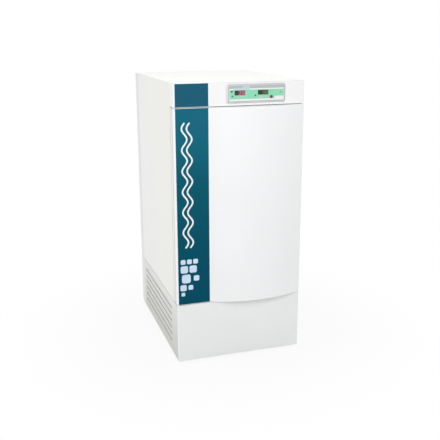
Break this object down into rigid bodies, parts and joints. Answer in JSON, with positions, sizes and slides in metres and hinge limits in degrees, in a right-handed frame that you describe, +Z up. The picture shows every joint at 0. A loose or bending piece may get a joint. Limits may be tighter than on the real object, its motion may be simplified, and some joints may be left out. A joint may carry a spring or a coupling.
{
  "type": "floor-standing incubated orbital shaker",
  "caption": "Upright refrigerated incubator cabinet with a bowed hinged front door, head control panel and an orbital shaking platform inside the insulated chamber.",
  "frame": {"origin": "on the floor, under the middle of the cabinet's bounding box", "axes": "+X to the right as seen from the front, +Y from the door to the rear, +Z up"},
  "size_m": [0.7, 1.0049, 1.5],
  "materials": {
    "shell_white": "smooth satin powder coat",
    "door_white": "semi-gloss powder coat",
    "liner_white": "smooth moulded",
    "stripe_film": "gloss printed film",
    "stainless": "brushed",
    "galvanised": "zinc-coated sheet",
    "plated_steel": "zinc plated",
    "foam": "rigid foam",
    "bush_plastic": "moulded bearing plastic",
    "gasket_rubber": "soft magnetic seal",
    "bezel_grey": "fine moulded texture",
    "membrane_green": "satin polyester film",
    "display_dark": "tinted window",
    "board_green": "circuit board",
    "key_white": "moulded key",
    "button_red": "moulded button",
    "black_plastic": "moulded",
    "painted_casting": "painted casting",
    "cast_crank": "machined casting",
    "aluminium": "natural",
    "belt_rubber": "ribbed belt",
    "motor_paint": "enamel",
    "compressor_black": "gloss enamel"
  },
  "bodies": {
    "cabinet": {"levelling_feet": "plated_steel", "base_pan": "galvanised", "corner_posts": "galvanised", "deck_plate": "galvanised", "chamber_liner": "stainless", "insulation": "foam", "head_stripe": "stripe_film", "hinge_brackets": "plated_steel", "control_bezel": "bezel_grey", "membrane_panel": "membrane_green", "display_windows": "display_dark", "control_board": "board_green", "mains_inlet": "black_plastic", "drive_base": "painted_casting", "bearing_tube": "painted_casting", "main_bearings": "plated_steel", "drive_belt": "belt_rubber", "drive_motor": "motor_paint", "condenser": "aluminium", "condenser_motor": "motor_paint", "compressor": "compressor_black", "evaporator": "aluminium", "heater": "stainless", "duct_cover": "stainless", "circulation_motor": "motor_paint", "shelf_supports": "stainless", "wire_shelf": "stainless", "base_front_panel": "shell_white", "louvre_panel_left": "shell_white", "louvre_panel_right": "shell_white", "side_panel_left": "shell_white", "side_panel_right": "shell_white", "rear_panel": "shell_white", "head_fascia": "shell_white", "top_cover": "shell_white", "front_frame": "shell_white"},
    "door": {"door_skin": "door_white", "door_liner": "liner_white", "door_core": "foam", "door_bushes": "bush_plastic", "door_gasket": "gasket_rubber", "door_stripe": "stripe_film"},
    "main_crank": {"main_crank": "cast_crank", "main_pulley": "aluminium"},
    "platform": {"platform": "aluminium", "clamp_rack": "stainless"},
    "front_idler_left": {"front_idler_left": "cast_crank"},
    "front_idler_right": {"front_idler_right": "cast_crank"},
    "rear_idler": {"rear_idler": "cast_crank"},
    "motor_rotor": {"motor_pulley": "aluminium"},
    "circulation_fan": {"circulation_fan": "aluminium"},
    "condenser_fan": {"condenser_fan": "black_plastic"},
    "start_button": {"start_button": "button_red"},
    "mains_switch": {"mains_switch": "black_plastic"},
    "left_set_key": {"left_set_key": "key_white"},
    "left_down_key": {"left_down_key": "key_white"},
    "left_up_key": {"left_up_key": "key_white"},
    "right_set_key": {"right_set_key": "key_white"},
    "right_down_key": {"right_down_key": "key_white"},
    "right_up_key": {"right_up_key": "key_white"}
  },
  "joints": [
    {"name": "door_swing", "type": "hinge", "parent": "cabinet", "child": "door", "pos_m": [0.334, -0.4295, 0.859], "axis": [0, 0, 1], "range_deg": [0, 110]},
    {"name": "main_crank_turn", "type": "hinge", "parent": "cabinet", "child": "main_crank", "pos_m": [0, -0.015, 0.35], "axis": [0, 0, 1], "continuous": true},
    {"name": "platform_orbit", "type": "hinge", "parent": "main_crank", "child": "platform", "pos_m": [0.0125, -0.015, 0.465], "axis": [0, 0, 1], "continuous": true},
    {"name": "front_left_idler_turn", "type": "hinge", "parent": "cabinet", "child": "front_idler_left", "pos_m": [-0.19, -0.215, 0.43], "axis": [0, 0, 1], "continuous": true},
    {"name": "front_right_idler_turn", "type": "hinge", "parent": "cabinet", "child": "front_idler_right", "pos_m": [0.19, -0.215, 0.43], "axis": [0, 0, 1], "continuous": true},
    {"name": "rear_idler_turn", "type": "hinge", "parent": "cabinet", "child": "rear_idler", "pos_m": [0, 0.185, 0.43], "axis": [0, 0, 1], "continuous": true},
    {"name": "motor_turn", "type": "hinge", "parent": "cabinet", "child": "motor_rotor", "pos_m": [0, 0.185, 0.25], "axis": [0, 0, 1], "continuous": true},
    {"name": "circulation_fan_turn", "type": "hinge", "parent": "cabinet", "child": "circulation_fan", "pos_m": [0, 0.36, 1.18], "axis": [0, 1, 0], "continuous": true},
    {"name": "condenser_fan_turn", "type": "hinge", "parent": "cabinet", "child": "condenser_fan", "pos_m": [-0.27, 0.105, 0.1435], "axis": [1, 0, 0], "continuous": true},
    {"name": "mains_switch_rock", "type": "hinge", "parent": "cabinet", "child": "mains_switch", "pos_m": [-0.18, 0.491, 0.11], "axis": [1, 0, 0], "range_deg": [0, 16]},
    {"name": "left_set_key_press", "type": "slide", "parent": "cabinet", "child": "left_set_key", "axis": [0, 1, 0], "range_m": [0, 0.0008], "stiffness_N_per_m": 400},
    {"name": "left_down_key_press", "type": "slide", "parent": "cabinet", "child": "left_down_key", "axis": [0, 1, 0], "range_m": [0, 0.0008], "stiffness_N_per_m": 400},
    {"name": "left_up_key_press", "type": "slide", "parent": "cabinet", "child": "left_up_key", "axis": [0, 1, 0], "range_m": [0, 0.0008], "stiffness_N_per_m": 400},
    {"name": "right_set_key_press", "type": "slide", "parent": "cabinet", "child": "right_set_key", "axis": [0, 1, 0], "range_m": [0, 0.0008], "stiffness_N_per_m": 400},
    {"name": "right_down_key_press", "type": "slide", "parent": "cabinet", "child": "right_down_key", "axis": [0, 1, 0], "range_m": [0, 0.0008], "stiffness_N_per_m": 400},
    {"name": "right_up_key_press", "type": "slide", "parent": "cabinet", "child": "right_up_key", "axis": [0, 1, 0], "range_m": [0, 0.0008], "stiffness_N_per_m": 400},
    {"name": "start_button_press", "type": "slide", "parent": "cabinet", "child": "start_button", "axis": [0, 1, 0], "range_m": [0, 0.0008], "stiffness_N_per_m": 500}
  ],
  "couplings": [
    {"joint": "platform_orbit", "follows": "main_crank_turn", "ratio": -1},
    {"joint": "front_left_idler_turn", "follows": "main_crank_turn", "ratio": 1},
    {"joint": "front_right_idler_turn", "follows": "main_crank_turn", "ratio": 1},
    {"joint": "rear_idler_turn", "follows": "main_crank_turn", "ratio": 1},
    {"joint": "motor_turn", "follows": "main_crank_turn", "ratio": 2.5}
  ]
}
